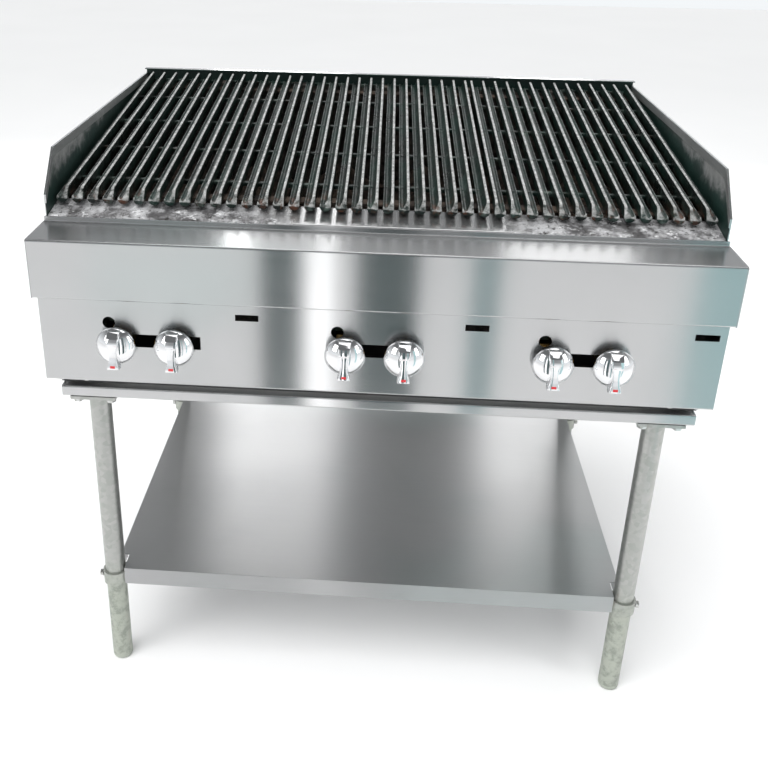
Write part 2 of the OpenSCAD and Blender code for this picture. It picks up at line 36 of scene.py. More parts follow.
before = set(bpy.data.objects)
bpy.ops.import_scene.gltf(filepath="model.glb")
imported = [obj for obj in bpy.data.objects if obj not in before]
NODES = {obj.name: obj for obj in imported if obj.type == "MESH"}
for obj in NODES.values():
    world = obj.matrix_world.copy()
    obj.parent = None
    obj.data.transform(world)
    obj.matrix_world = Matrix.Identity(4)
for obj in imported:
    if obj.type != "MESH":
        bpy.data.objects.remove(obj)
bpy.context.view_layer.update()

# ---- Driving sizes, in metres ----

GRATE_COUNT = 6
BARS = 7
BAR_PITCH = 21.4 * MM
BAR_LENGTH = 538 * MM
BAR_HEIGHT = 20 * MM
BAR_RINGS = 60
TROUGH_RADIUS = 7.5 * MM
TROUGH_DEPTH = 7 * MM
LIP_RADIUS = 1.0 * MM
RIDGE_RADIUS = 1.2 * MM
GRATE_SLOPE = math.radians(6.4)
# How far the castings settle into their rests
GRATE_SETTLE = 0.05 * MM
# Height of the lumps on a cast bar, and how far a bar wanders sideways
CAST_LUMPS = 0.28 * MM
CAST_BEND = 0.35 * MM
# The grates from this one on are turned, with their troughs on the right
FIRST_TURNED_GRATE = 5
RIB_PLACES = [70 * MM, 190 * MM, 310 * MM, 430 * MM, 532 * MM]
RIB_LENGTH = 6 * MM
RIB_BOTTOM = 2.5 * MM
RIB_TOP = 8 * MM

KNOB_RADIUS = 27 * MM
KNOB_SIDES = 72
# Depth of the rolled rim at the foot of the dome, and the dome's rise above it
RIM_DEPTH = 3.0 * MM
DOME_RISE = 14.4 * MM
DOME_STEPS = 13
STEM_HOLE = 4.1 * MM
GRIP_TAIL = -26 * MM
GRIP_HEAD = 25 * MM
GRIP_STEPS = 44
MARK_WIDTH = 6.4 * MM
MARK_COLUMNS = 8
MARK_ROWS = 5
# How far the enamel dash stands out from the grip's face
MARK_RISE = 0.22 * MM
MARK_THICKNESS = 0.2 * MM

SHEET = 1.5 * MM


# ---- Node materials ----


class Look:
    """A material under construction: a Principled shader and short ways to add nodes before it."""

    def __init__(self, name, **sockets):
        self.material = bpy.data.materials.new(name)
        self.material.use_nodes = True
        self.tree = self.material.node_tree
        self.shader = self.tree.nodes["Principled BSDF"]
        for socket, value in sockets.items():
            self.shader.inputs[socket.replace("_", " ").title()].default_value = value
        self.place = self.node("ShaderNodeTexCoord").outputs["Object"]

    def node(self, kind, **settings):
        made = self.tree.nodes.new(kind)
        for key, value in settings.items():
            setattr(made, key, value)
        return made

    def link(self, source, target):
        self.tree.links.new(source, target)

    def put(self, socket, value):
        """Fills a socket with a constant or with another node's output."""
        if isinstance(value, bpy.types.NodeSocket):
            self.link(value, socket)
        else:
            socket.default_value = value

    def scaled(self, scale):
        """The object's own coordinates, stretched by a factor along each axis."""
        mapping = self.node("ShaderNodeMapping")
        mapping.inputs["Scale"].default_value = scale
        self.link(self.place, mapping.inputs["Vector"])
        return mapping.outputs["Vector"]

    def noise(self, scale, detail=3.0, rough=0.55, stretch=(1, 1, 1), warp=0.0):
        """Cloudy noise; its scale is in lumps per metre."""
        texture = self.node("ShaderNodeTexNoise")
        texture.inputs["Scale"].default_value = scale
        texture.inputs["Detail"].default_value = detail
        texture.inputs["Roughness"].default_value = rough
        texture.inputs["Distortion"].default_value = warp
        self.link(self.scaled(stretch), texture.inputs["Vector"])
        return texture.outputs["Fac"]

    def cell_shade(self, scale):
        """A random value for each cell of a crystal pattern."""
        texture = self.node("ShaderNodeTexVoronoi")
        texture.inputs["Scale"].default_value = scale
        self.link(self.place, texture.inputs["Vector"])
        split = self.node("ShaderNodeSeparateColor")
        self.link(texture.outputs["Color"], split.inputs["Color"])
        return split.outputs["Red"]

    def ramp(self, value, low, high, to_low=0.0, to_high=1.0):
        """Maps a value smoothly from one range to another, held at the ends."""
        step = self.node("ShaderNodeMapRange", clamp=True)
        step.interpolation_type = "SMOOTHSTEP"
        self.put(step.inputs["Value"], value)
        step.inputs["From Min"].default_value = low
        step.inputs["From Max"].default_value = high
        step.inputs["To Min"].default_value = to_low
        step.inputs["To Max"].default_value = to_high
        return step.outputs["Result"]

    def math(self, operation, first, second=0.0, third=0.0):
        step = self.node("ShaderNodeMath", operation=operation)
        for socket, value in zip(step.inputs, (first, second, third)):
            self.put(socket, value)
        return step.outputs["Value"]

    def mix(self, amount, first, second):
        """The first colour where the amount is 0, and the second where it is 1."""
        blend = self.node("ShaderNodeMix", data_type="RGBA")
        self.put(blend.inputs["Factor"], amount)
        self.put(blend.inputs["A"], first)
        self.put(blend.inputs["B"], second)
        return blend.outputs["Result"]

    def axis(self, name):
        """One of the object's own coordinates, in metres."""
        split = self.node("ShaderNodeSeparateXYZ")
        self.link(self.place, split.inputs["Vector"])
        return split.outputs[name]

    def normal(self, name):
        """One component of the surface's normal."""
        geometry = self.node("ShaderNodeNewGeometry")
        split = self.node("ShaderNodeSeparateXYZ")
        self.link(geometry.outputs["Normal"], split.inputs["Vector"])
        return split.outputs[name]

    def painted(self, name):
        """The value that a mesh's own point attribute holds."""
        return self.node("ShaderNodeAttribute", attribute_name=name).outputs["Fac"]

    def colour(self, value):
        self.put(self.shader.inputs["Base Color"], value)

    def roughness(self, value):
        self.put(self.shader.inputs["Roughness"], value)

    def metallic(self, value):
        self.put(self.shader.inputs["Metallic"], value)

    def bump(self, height, depth):
        """Fine relief: a height of 1 stands depth metres out."""
        step = self.node("ShaderNodeBump")
        step.inputs["Strength"].default_value = 1.0
        step.inputs["Distance"].default_value = depth
        self.link(height, step.inputs["Height"])
        self.link(step.outputs["Normal"], self.shader.inputs["Normal"])
        return self

    def brushed(self, amount, across):
        """Stretches reflections across the grain, along a direction that lies in the sheet."""
        self.shader.inputs["Anisotropic"].default_value = amount
        direction = self.node("ShaderNodeCombineXYZ")
        for socket, value in zip(direction.inputs, across):
            socket.default_value = value
        self.link(direction.outputs["Vector"], self.shader.inputs["Tangent"])
        return self


def rgb(red, green, blue):
    return (red, green, blue, 1.0)


# Lies in every sheet whose grain runs along X, upright or flat, and points across that grain
ACROSS_X_GRAIN = (0, 0.7, 0.7)


def grain(look, stretch):
    """Brush lines: fine noise drawn out along the grain."""
    fine = look.noise(420, detail=2.0, rough=0.7, stretch=stretch)
    broad = look.noise(90, detail=2.0, rough=0.6, stretch=stretch)
    return look.math("ADD", look.math("MULTIPLY", fine, 0.8), look.math("MULTIPLY", broad, 0.2))


def stainless(name, tone, rough, stretch=(0.02, 1, 1), smudge=0.06, reflection_tint=rgb(0.47, 0.56, 0.55)):
    """Brushed stainless sheet, with faint smudges in its roughness, and soft blotches of painted
    reflection in its colour: darker in places, and with a teal cast here and there.
    """
    look = Look(name, metallic=1.0)
    lines = grain(look, stretch)
    # Soft blotches: smudges that roughen the sheet, and painted reflection where they darken its colour
    smudges_and_reflection_blots = look.noise(5.5, detail=4.0, warp=0.4)
    # Painted reflection: soft teal-tinted blotches in the colour, standing in for surroundings mirrored
    # in the sheet
    painted_cool_reflection = look.ramp(look.noise(2.6, detail=2.0), 0.48, 0.72, 0.0, 0.45)
    base = look.mix(painted_cool_reflection, rgb(tone, tone, tone * 1.005), reflection_tint)
    darker = rgb(tone * 0.78, tone * 0.80, tone * 0.80)
    base = look.mix(look.ramp(lines, 0.30, 0.70, 0.11, 0.0), base, darker)
    # Painted reflection: the soft blotches darken the colour, on top of the darker grain lines
    look.colour(look.mix(look.ramp(smudges_and_reflection_blots, 0.45, 0.75, 0.0, 0.22), base, darker))
    spread = look.math("MULTIPLY_ADD", smudges_and_reflection_blots, smudge, rough - smudge / 2)
    look.roughness(look.math("MULTIPLY_ADD", lines, 0.04, spread))
    look.bump(lines, 0.000005)
    return look.brushed(0.95, ACROSS_X_GRAIN)


def greasy_guard(name, inward_axis, hem_from=0.0):
    """A guard: stainless outside, and burnt-on grease inside that thickens towards the grates.

    The folded hem stands inside hem_from, measured from the middle of the object, and stays cleaner."""
    look = Look(name)
    lines = grain(look, (1, 0.02, 1))
    ridge_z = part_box("grate_1")[0].z + BAR_HEIGHT
    front_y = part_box("grate_1")[0].y
    depth = look.math("SUBTRACT", look.axis("Y"), front_y)
    level = look.math("MULTIPLY_ADD", depth, math.tan(GRATE_SLOPE), ridge_z)
    above = look.math("SUBTRACT", look.axis("Z"), level)
    wobble = look.noise(34, detail=7.0, rough=0.7, warp=0.3)
    above = look.math("MULTIPLY_ADD", look.math("SUBTRACT", wobble, 0.5), -70 * MM, above)
    soot = look.ramp(above, 4 * MM, 34 * MM, 1.0, 0.0)
    inward = look.math("MULTIPLY", look.normal(inward_axis), look.math("SIGN", look.axis(inward_axis)))
    inside = look.ramp(inward, -0.6, -0.3, 1.0, 0.0)
    off = look.math("ABSOLUTE", look.axis(inward_axis))
    inside = look.math("MULTIPLY", inside, look.ramp(off, hem_from - 0.2 * MM, hem_from, 0.25, 1.0))
    haze = look.math("MULTIPLY", look.ramp(wobble, 0.25, 0.75, 0.5, 0.95), inside)
    soot = look.math("MULTIPLY", soot, inside)
    clean = look.mix(look.ramp(lines, 0.3, 0.7, 0.2, 0.0), rgb(0.60, 0.61, 0.61), rgb(0.46, 0.47, 0.47))
    streaks = look.noise(150, detail=5.0, rough=0.7)
    film = look.mix(streaks, rgb(0.17, 0.17, 0.165), rgb(0.50, 0.50, 0.49))
    burnt = look.mix(look.noise(22, detail=5.0), rgb(0.005, 0.009, 0.008), rgb(0.012, 0.050, 0.040))
    look.colour(look.mix(soot, look.mix(haze, clean, film), burnt))
    look.metallic(look.math("MULTIPLY_ADD", soot, -0.5, look.math("MULTIPLY_ADD", haze, -0.5, 1.0)))
    look.roughness(look.math("MULTIPLY_ADD", haze, 0.28, look.math("MULTIPLY_ADD", lines, 0.08, 0.22)))
    bumps = look.math("MULTIPLY", look.noise(160, detail=4.0), look.math("MAXIMUM", soot, haze))
    look.bump(look.math("MULTIPLY_ADD", bumps, 1.0, look.math("MULTIPLY", lines, 0.05)), 0.0004)
    return look.brushed(0.4, (0, 0, 1))


def burnt_deflector(name):
    """Deflector: bare and bright in the middle, ash-grey and scorched towards its ends."""
    look = Look(name)
    lines = grain(look, (0.02, 1, 1))
    clean_middle = 20 * MM
    away = look.math("ABSOLUTE", look.math("SUBTRACT", look.axis("X"), clean_middle))
    ragged = look.noise(14, detail=5.0, rough=0.65)
    away = look.math("MULTIPLY_ADD", look.math("SUBTRACT", ragged, 0.5), 250 * MM, away)
    burnt = look.ramp(away, 120 * MM, 220 * MM, 0.12, 1.0)
    cloud = look.noise(26, detail=8.0, rough=0.72)
    flecks = look.noise(150, detail=6.0, rough=0.8)
    ash = look.mix(look.ramp(cloud, 0.40, 0.60), rgb(0.56, 0.56, 0.57), rgb(0.10, 0.098, 0.10))
    ash = look.mix(look.ramp(flecks, 0.53, 0.62), ash, rgb(0.025, 0.022, 0.02))
    pale = look.ramp(look.noise(70, detail=5.0, rough=0.75), 0.56, 0.66)
    ash = look.mix(pale, ash, rgb(0.84, 0.84, 0.85))
    bright = look.mix(look.ramp(lines, 0.3, 0.7, 0.15, 0.0), rgb(0.66, 0.66, 0.66), rgb(0.5, 0.5, 0.5))
    look.colour(look.mix(burnt, bright, ash))
    look.metallic(look.math("MULTIPLY_ADD", burnt, -0.6, 1.0))
    look.roughness(look.math("MULTIPLY_ADD", burnt, 0.35, look.math("MULTIPLY_ADD", lines, 0.05, 0.12)))
    crust = look.math("MULTIPLY", burnt, look.math("MULTIPLY_ADD", flecks, 0.5, cloud))
    return look.bump(crust, 0.0012)


def grate_iron(name):
    """Cast bars: black-green and greasy, worn to grey metal on ridges, lips and front ends."""
    look = Look(name)
    lumps = look.noise(120, detail=5.0, rough=0.65)
    pits = look.noise(420, detail=3.0)
    film = look.noise(16, detail=5.0, rough=0.65, warp=0.5)
    dark = look.mix(look.ramp(film, 0.38, 0.66), rgb(0.003, 0.006, 0.005), rgb(0.006, 0.021, 0.016))
    crust = look.ramp(look.noise(60, detail=6.0, rough=0.75), 0.50, 0.66, 0.0, 0.85)
    dark = look.mix(look.math("MULTIPLY", crust, look.painted("crust")), dark, rgb(0.10, 0.135, 0.118))
    rust = look.ramp(look.noise(38, detail=5.0, rough=0.7), 0.50, 0.64)
    rust = look.math("MULTIPLY", rust, look.painted("rust"))
    dark = look.mix(rust, dark, rgb(0.075, 0.026, 0.012))
    worn = look.math("MULTIPLY_ADD", look.math("SUBTRACT", lumps, 0.5), 0.9, look.painted("worn"))
    worn = look.ramp(worn, 0.30, 0.62)
    metal = look.mix(look.ramp(look.noise(140, detail=5.0, rough=0.7), 0.3, 0.7),
                     rgb(0.26, 0.27, 0.26), rgb(0.70, 0.70, 0.69))
    look.colour(look.mix(worn, dark, metal))
    look.metallic(look.math("MULTIPLY", worn, 0.75))
    shine = look.math("MULTIPLY_ADD", film, 0.30, 0.16)
    look.roughness(look.math("MULTIPLY_ADD", worn, 0.14, shine))
    return look.bump(look.math("MULTIPLY_ADD", pits, 0.4, lumps), 0.0009)


def scorched(name, dark, light, rough, grain_size=30.0, metal=0.6):
    """Sheet or bar that has lived in the fire: uneven scale, soot and a few lighter flakes."""
    look = Look(name)
    scale = look.noise(grain_size, detail=6.0, rough=0.68, warp=0.5)
    fine = look.noise(grain_size * 9, detail=3.0)
    look.colour(look.mix(look.ramp(scale, 0.36, 0.68), dark, light))
    look.metallic(look.ramp(scale, 0.30, 0.70, metal, metal * 0.5))
    look.roughness(look.math("MULTIPLY_ADD", scale, 0.3, rough - 0.15))
    return look.bump(look.math("MULTIPLY_ADD", fine, 0.4, scale), 0.0005)


def grease_and_shade_tray(name):
    """Drip tray: grease-black inside and along its front lip, a black kept this dark as painted shade
    for the gap under the control panel, and bare grey steel underneath.
    """
    look = Look(name)
    under = look.ramp(look.normal("Z"), -0.7, -0.5, 1.0, 0.0)
    film = look.noise(16, detail=6.0, rough=0.68, warp=0.5)
    # Painted shade as well as grease: this near-black stands for the shade in the gap under the control
    # panel
    grease = look.mix(look.ramp(film, 0.38, 0.68), rgb(0.006, 0.008, 0.008), rgb(0.035, 0.032, 0.03))
    bare = look.mix(film, rgb(0.34, 0.35, 0.35), rgb(0.50, 0.50, 0.49))
    look.colour(look.mix(under, grease, bare))
    look.metallic(look.math("MULTIPLY_ADD", under, 0.8, 0.1))
    look.roughness(look.math("MULTIPLY_ADD", film, 0.3, 0.4))
    return look.bump(film, 0.0004)


def cast_burner(name):
    """Raw sand-cast iron with scale and rust from the heat."""
    look = Look(name)
    sand = look.noise(330, detail=4.0, rough=0.7)
    scale = look.noise(24, detail=5.0, rough=0.65, warp=0.4)
    rust = look.ramp(look.noise(40, detail=5.0, rough=0.7), 0.52, 0.70, 0.0, 0.8)
    iron = look.mix(scale, rgb(0.05, 0.047, 0.045), rgb(0.13, 0.12, 0.115))
    look.colour(look.mix(rust, iron, rgb(0.16, 0.062, 0.026)))
    look.metallic(look.math("MULTIPLY_ADD", rust, -0.3, 0.35))
    look.roughness(look.math("MULTIPLY_ADD", scale, 0.2, 0.55))
    return look.bump(look.math("MULTIPLY_ADD", scale, 0.7, sand), 0.0006)


def black_pipe(name):
    """Black iron pipe: a thin lacquer that is worn in places."""
    look = Look(name)
    coat = look.noise(70, detail=4.0)
    thin = look.ramp(coat, 0.40, 0.72)
    look.colour(look.mix(thin, rgb(0.016, 0.016, 0.017), rgb(0.055, 0.052, 0.05)))
    look.metallic(0.25)
    look.roughness(look.math("MULTIPLY_ADD", coat, 0.25, 0.32))
    return look.bump(look.noise(500, detail=2.0), 0.0001)


def turned_metal(name, tone, tarnish, rough):
    """Lathe-turned metal with fine rings and a little tarnish."""
    look = Look(name, metallic=1.0)
    rings = look.noise(900, detail=1.0, stretch=(0.05, 1, 0.05))
    dull = look.ramp(look.noise(55, detail=5.0, rough=0.65), 0.42, 0.72, 0.0, 0.8)
    look.colour(look.mix(dull, tone, tarnish))
    look.roughness(look.math("MULTIPLY_ADD", dull, 0.22, look.math("MULTIPLY_ADD", rings, 0.06, rough)))
    return look.bump(rings, 0.00004)


def chrome(name):
    """Polished chrome with a slight haze from handling."""
    look = Look(name, metallic=1.0)
    haze = look.noise(40, detail=4.0)
    dull = look.ramp(haze, 0.5, 0.8, 0.0, 0.3)
    look.colour(look.mix(dull, rgb(0.86, 0.86, 0.87), rgb(0.72, 0.73, 0.74)))
    look.roughness(look.ramp(haze, 0.35, 0.8, 0.035, 0.14))
    return look.bump(look.noise(90, detail=2.0), 0.00003)


def enamel_mark(name):
    """Red enamel, rubbed pale in spots."""
    look = Look(name)
    worn = look.noise(500, detail=4.0)
    rubbed = look.ramp(worn, 0.52, 0.72, 0.0, 0.6)
    look.colour(look.mix(rubbed, rgb(0.55, 0.028, 0.035), rgb(0.70, 0.35, 0.34)))
    look.roughness(look.math("MULTIPLY_ADD", worn, 0.2, 0.3))
    return look.bump(worn, 0.00003)


def galvanised(name):
    """Zinc-dipped tube: soft spangles, a matte lower end and brownish stains down its length."""
    look = Look(name)
    spangle = look.cell_shade(150)
    mottle = look.noise(60, detail=5.0, rough=0.7)
    low_end = look.ramp(look.axis("Z"), 130 * MM, 220 * MM, 1.0, 0.0)
    bright = 0.46
    pale = rgb(bright, bright, bright * 0.97)
    zinc = look.mix(spangle, pale, rgb(bright * 0.82, bright * 0.85, bright * 0.80))
    dull = look.mix(look.ramp(mottle, 0.42, 0.62), rgb(0.42, 0.45, 0.38), rgb(0.24, 0.27, 0.22))
    zinc = look.mix(look.math("MULTIPLY", low_end, 0.75), zinc, dull)
    runs = look.noise(20, detail=5.0, stretch=(1, 1, 0.25), rough=0.7)
    look.colour(look.mix(look.ramp(runs, 0.58, 0.74, 0.0, 0.75), zinc, rgb(0.20, 0.15, 0.10)))
    look.metallic(look.math("MULTIPLY_ADD", low_end, -0.5, 0.9))
    matte = look.math("MULTIPLY_ADD", low_end, 0.12, 0.20)
    look.roughness(look.math("MULTIPLY_ADD", mottle, 0.25, matte))
    return look.bump(look.math("MULTIPLY_ADD", spangle, 0.2, mottle), 0.0002)


def zinc_bolt(name):
    """Zinc-plated fasteners, clouded and a little yellowed."""
    look = Look(name, metallic=1.0)
    cloud = look.noise(220, detail=4.0)
    look.colour(look.mix(look.ramp(cloud, 0.4, 0.7), rgb(0.68, 0.69, 0.68), rgb(0.42, 0.42, 0.39)))
    look.roughness(look.math("MULTIPLY_ADD", cloud, 0.25, 0.18))
    return look.bump(cloud, 0.00008)


def moulded_plastic(name):
    """Grey-green moulded plastic with dark scuffs."""
    look = Look(name)
    skin = look.noise(700, detail=3.0)
    scuff = look.ramp(look.noise(70, detail=5.0), 0.5, 0.72, 0.0, 0.7)
    look.colour(look.mix(scuff, rgb(0.40, 0.43, 0.37), rgb(0.24, 0.25, 0.22)))
    look.roughness(look.math("MULTIPLY_ADD", skin, 0.2, 0.45))
    return look.bump(skin, 0.00015)


LOOKS = {
    "sheet": stainless("brushed_sheet", 0.58, 0.22),
    "shelf": stainless("shelf_sheet", 0.56, 0.38),
    "guard": greasy_guard("guard_sheet", "X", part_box("right_side_panel")[1].x - 1.4 * SHEET),
    "back": greasy_guard("back_sheet", "Y"),
    "deflector": burnt_deflector("burnt_deflector"),
    "grate": grate_iron("grate_iron"),
    "firebox": scorched("firebox_scale", rgb(0.03, 0.028, 0.026), rgb(0.13, 0.115, 0.10), 0.55),
    "radiant": scorched("radiant_scale", rgb(0.035, 0.03, 0.028), rgb(0.15, 0.11, 0.085), 0.65,
                        grain_size=22.0, metal=0.5),
    "tray": grease_and_shade_tray("grease_and_shade_tray"),
    "burner": cast_burner("burner_casting"),
    "pipe": black_pipe("black_pipe"),
    "brass": turned_metal("turned_brass", rgb(0.68, 0.47, 0.19), rgb(0.30, 0.20, 0.09), 0.24),
    # Painted shade: the pilot valves, seen only through the pilot holes, are near-black green to stand
    # for the dark inside of the holes, not because the brass is tarnished
    "shade_dark_brass": turned_metal("brass_darkened_as_shade", rgb(0.05, 0.065, 0.05), rgb(0.015, 0.02, 0.018), 0.4),
    "tube": turned_metal("aluminium_tube", rgb(0.70, 0.70, 0.71), rgb(0.45, 0.44, 0.42), 0.28),
    "chrome": chrome("chrome_plate"),
    "mark": enamel_mark("red_enamel"),
    "galvanised": galvanised("galvanised_tube"),
    "zinc": zinc_bolt("zinc_plate"),
    "plastic": moulded_plastic("grey_plastic"),
}


# ---- CAD nodes that stay: softened edges and their materials ----


def shade_smooth(data):
    for polygon in data.polygons:
        polygon.use_smooth = True


def round_edges(piece, width, sharp_from):
    """Rounds the edges whose faces meet at more than an angle in degrees."""
    bevel = piece.modifiers.new("edges", "BEVEL")
    bevel.width = width
    bevel.segments = 2
    bevel.limit_method = "ANGLE"
    bevel.angle_limit = math.radians(sharp_from)


def dress(node, look, edge):
    """Gives a CAD node its material, and rounds its sheared edges when edge is more than 0."""
    piece = NODES[node]
    piece.data.materials.clear()
    piece.data.materials.append(LOOKS[look].material)
    if edge <= 0:
        return
    weld = piece.modifiers.new("join", "WELD")
    weld.merge_threshold = 0.01 * MM
    flat = piece.modifiers.new("flats", "DECIMATE")
    flat.decimate_type = "DISSOLVE"
    flat.angle_limit = math.radians(0.5)
    round_edges(piece, edge, sharp_from=40)
    shade_smooth(piece.data)
    shade = piece.modifiers.new("shading", "WEIGHTED_NORMAL")
    shade.keep_sharp = True


# Look, rounding of the edges, and the nodes that have both
PLAIN_NODES = [
    ("sheet", 0.3 * MM, ["control_panel", "front_ledge", "ledge_end_caps"]),
    ("back", 0.3 * MM, ["back_panel"]),
    ("sheet", 0.3 * MM, ["frame_cross_rails", "frame_side_rails", "tray_runners"]),
    ("shelf", 0.4 * MM, ["undershelf"]),
    ("guard", 0.3 * MM, ["left_side_panel", "right_side_panel"]),
    ("deflector", 0.3 * MM, ["grease_deflector"]),
    ("firebox", 0.3 * MM, ["firebox_front_wall", "firebox_rear_wall", "firebox_liners"]),
    ("radiant", 0.3 * MM, ["radiants", "grate_rests", "firebox_rails"]),
    ("tray", 0.3 * MM, ["drip_tray"]),
    ("burner", 0.8 * MM, [f"burner_{i}" for i in range(1, GRATE_COUNT + 1)]),
    ("pipe", 0.5 * MM, ["gas_manifold", "gas_inlet_pipe", "gas_elbow"]),
    ("brass", 0.4 * MM, ["gas_valves", "burner_orifices"]),
    # Brass painted near-black as shade for the dark pilot holes
    ("shade_dark_brass", 0.4 * MM, ["pilot_valves"]),
    ("brass", 0.3 * MM, [f"valve_stem_{i}" for i in range(1, GRATE_COUNT + 1)]),
    ("tube", 0.0, ["pilot_tubes"]),
    ("tube", 0.3 * MM, ["pilot_burners"]),
    ("galvanised", 0.4 * MM, ["front_left_leg", "front_right_leg"]),
    ("galvanised", 0.4 * MM, ["rear_left_leg", "rear_right_leg"]),
    ("galvanised", 0.6 * MM, ["leg_flanges", "shelf_collars"]),
    ("zinc", 0.4 * MM, ["body_screws", "flange_bolts", "collar_screws"]),
    ("plastic", 0.0, ["leg_plugs"]),
]


def dress_cad_nodes():
    for look, edge, nodes in PLAIN_NODES:
        for node in nodes:
            dress(node, look, edge)


# ---- Mesh helpers ----


def mesh_data(mesh, name):
    """Turns a finished bmesh into mesh data, and frees it."""
    data = bpy.data.meshes.new(name)
    mesh.to_mesh(data)
    mesh.free()
    return data


def add_piece(name, data, look, body, replaces=()):
    """Adds a visible piece that rides with a body, in place of the CAD nodes that it replaces."""
    piece = bpy.data.objects.new(name, data)
    bpy.context.scene.collection.objects.link(piece)
    piece.data.materials.append(LOOKS[look].material)
    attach(piece, body)
    if replaces:
        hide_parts(*replaces)
    return piece


def arc(centre, radii, start, end, steps):
    """Points of an elliptical arc between two angles in degrees."""
    points = []
    for step in range(steps + 1):
        angle = math.radians(start + (end - start) * step / steps)
        points.append((centre[0] + radii[0] * math.cos(angle), centre[1] + radii[1] * math.sin(angle)))
    return points


# ---- Grates ----


def bar_profile():
    """Outline of a bar, counter-clockwise from the left end of its round underside: across, up."""
    lip = (-6.5 * MM, 8.6 * MM)
    ridge_left = (4.3 * MM, BAR_HEIGHT - RIDGE_RADIUS)
    ridge_right = (5.9 * MM, BAR_HEIGHT - RIDGE_RADIUS)
    underside = arc((0, TROUGH_DEPTH), (TROUGH_RADIUS, TROUGH_DEPTH), 180, 360, 14)
    blade = [(7.2 * MM, 10 * MM), (7.1 * MM, 14 * MM), (7.0 * MM, 17 * MM)]
    ridge = arc(ridge_right, (RIDGE_RADIUS, RIDGE_RADIUS), 0, 90, 3)
    ridge += arc(ridge_left, (RIDGE_RADIUS, RIDGE_RADIUS), 90, 170, 3)
    inner = [(3.0 * MM, 16.4 * MM), (1.6 * MM, 13 * MM), (-0.2 * MM, 10.2 * MM)]
    trough = arc((-3.2 * MM, 9.6 * MM), (2.4 * MM, 2.3 * MM), 340, 200, 5)
    return underside + blade + ridge + inner + trough + arc(lip, (LIP_RADIUS, LIP_RADIUS), 0, 180, 4)


def front_cut(height):
    """How far back the 45 degree cut of the front end lies at a height above the underside."""
    return max(0.0, height - TROUGH_DEPTH)


def clamped(value):
    return min(1.0, max(0.0, value))


def bar_wear(across, height, along):
    """(worn, rust, crust) amounts at a point of a bar."""
    ridge = clamped((height - 18.5 * MM) / (0.9 * MM))
    lip = 0.38 if across < -6.2 * MM and height > 9.2 * MM else 0.0
    on_cut = along < front_cut(height) + 1.0 * MM
    front = 0.46 if on_cut and height > 5 * MM else 0.0
    near_front = clamped(1 - along / (60 * MM))
    near_rib = max(1 - abs(along - place) / (22 * MM) for place in RIB_PLACES)
    rust = near_front if height < 9 * MM else 0.3 * near_front
    crust = max(0.25, near_front, near_rib) if height < 16 * MM else 0.15
    return max(ridge, lip, front), rust, crust


def bar_point(across, height, along, seed):
    """A point of a bar, moved by the lumps and the bend of the casting. The ridge is smoother."""
    spot = Vector((across * 90, height * 90, along * 30 + seed))
    smoother = 0.4 if height > 19 * MM else 1.0
    lump = CAST_LUMPS * noise.noise(spot) * smoother
    bend = CAST_BEND * noise.noise(Vector((seed, along * 6, 0)))
    half = BAR_HEIGHT / 2
    inset = max(0.0, 1 - abs(height - half) / half)
    return across * (1 + lump * 12) + bend, height - abs(lump) * inset


def add_bar(mesh, layers, to_world, offset, flip, seed):
    """One bar: rings of the profile from its cut front end to its back, closer together in front."""
    profile = bar_profile()
    grid = []
    for ring in range(BAR_RINGS + 1):
        row = []
        for across, height in profile:
            start = front_cut(height)
            along = start + (BAR_LENGTH - start) * (ring / BAR_RINGS) ** 1.15
            side, level = bar_point(across, height, along, seed)
            vertex = mesh.verts.new(to_world @ Vector((side * flip + offset, along, level)))
            for layer, amount in zip(layers, bar_wear(across, height, along)):
                vertex[layer] = amount
            row.append(vertex)
        grid.append(row)
    count = len(profile)
    for near, far in zip(grid, grid[1:]):
        for i in range(count):
            j = (i + 1) % count
            corners = [near[i], near[j], far[j], far[i]]
            mesh.faces.new(corners if flip > 0 else corners[::-1])
    cap_bar(mesh, grid[0], profile, flip)
    back = grid[-1]
    mesh.faces.new(back if flip > 0 else back[::-1])


def cap_bar(mesh, row, profile, flip):
    """Closes the front end: the round underside upright, and the rest on the 45 degree cut."""
    margin = 0.01 * MM
    under = [v for v, (_, height) in zip(row, profile) if height <= TROUGH_DEPTH + margin]
    over = [v for v, (_, height) in zip(row, profile) if height >= TROUGH_DEPTH - margin]
    over = over[1:] + over[:1]
    for ring in (under, over):
        mesh.faces.new(ring[::-1] if flip > 0 else ring)


def add_block(mesh, layers, to_world, low, high, amounts):
    """A plain block between two corners, with one (worn, rust, crust) all over."""
    corners = []
    for x in (low[0], high[0]):
        for y in (low[1], high[1]):
            for z in (low[2], high[2]):
                vertex = mesh.verts.new(to_world @ Vector((x, y, z)))
                for layer, amount in zip(layers, amounts):
                    vertex[layer] = amount
                corners.append(vertex)
    sides = ((0, 1, 3, 2), (4, 6, 7, 5), (0, 4, 5, 1), (2, 3, 7, 6), (0, 2, 6, 4), (1, 5, 7, 3))
    for side in sides:
        mesh.faces.new([corners[i] for i in side])


